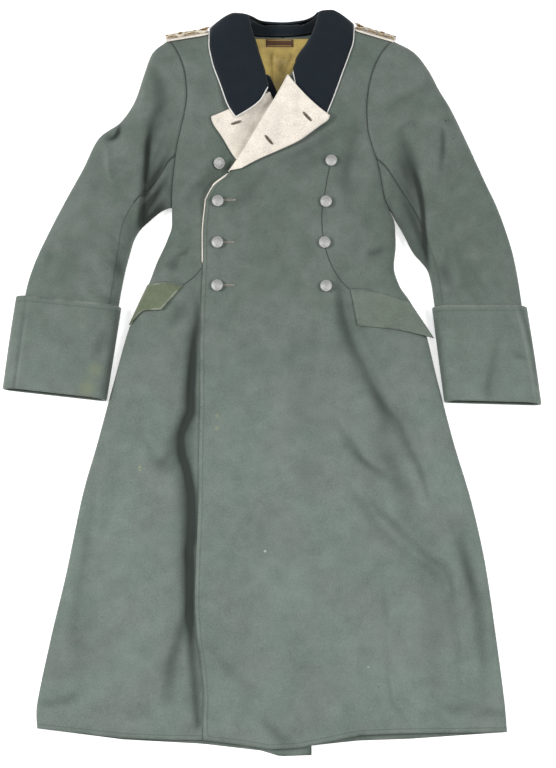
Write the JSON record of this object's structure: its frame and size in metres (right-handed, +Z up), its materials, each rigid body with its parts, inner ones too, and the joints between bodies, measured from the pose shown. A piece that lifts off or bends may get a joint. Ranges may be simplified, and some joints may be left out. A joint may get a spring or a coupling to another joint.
{
  "type": "military greatcoat",
  "caption": "Long double-breasted wool greatcoat laid flat on its back, with a wide collar, turned lapels, deep cuffs, pocket flaps and shoulder boards.",
  "frame": {"origin": "centre of the underside of the coat's box, on the surface that it lies on", "axes": "+X to the wearer's left, +Y from hem to collar, +Z up out of the fronts"},
  "size_m": [0.9485, 1.3355, 0.0542],
  "materials": {
    "field_grey_wool": "napped twill wool",
    "flap_wool": "napped twill wool, a little yellower",
    "collar_wool": "fine dark cloth",
    "stone_wool": "pale felted cloth",
    "white_piping": "corded piping",
    "gold_satin": "satin lining",
    "label_weave": "bare woven tab",
    "grey_metal": "matt pebbled",
    "gilt": "satin",
    "silver_cord": "metallic braid"
  },
  "bodies": {
    "root": {"back_left": "field_grey_wool", "back_right": "field_grey_wool", "board_button_left": "gilt", "board_button_right": "gilt", "board_left": "stone_wool", "board_right": "stone_wool", "button_left_1": "grey_metal", "button_left_2": "grey_metal", "button_left_3": "grey_metal", "button_left_4": "grey_metal", "button_right_1": "grey_metal", "button_right_2": "grey_metal", "button_right_3": "grey_metal", "button_right_4": "grey_metal", "collar_fall": "collar_wool", "collar_piping": "white_piping", "collar_stand": "collar_wool", "cuff_left": "field_grey_wool", "cuff_right": "field_grey_wool", "facing_left": "stone_wool", "facing_right": "stone_wool", "flap_left": "flap_wool", "flap_right": "flap_wool", "front_left": "field_grey_wool", "front_piping": "stone_wool", "front_right": "field_grey_wool", "label": "label_weave", "lapel_left": "field_grey_wool", "lapel_right": "field_grey_wool", "lining": "gold_satin", "plait_left": "silver_cord", "plait_right": "silver_cord", "under_sleeve_left": "field_grey_wool", "under_sleeve_right": "field_grey_wool", "upper_sleeve_left": "field_grey_wool", "upper_sleeve_right": "field_grey_wool"}
  },
  "joints": []
}
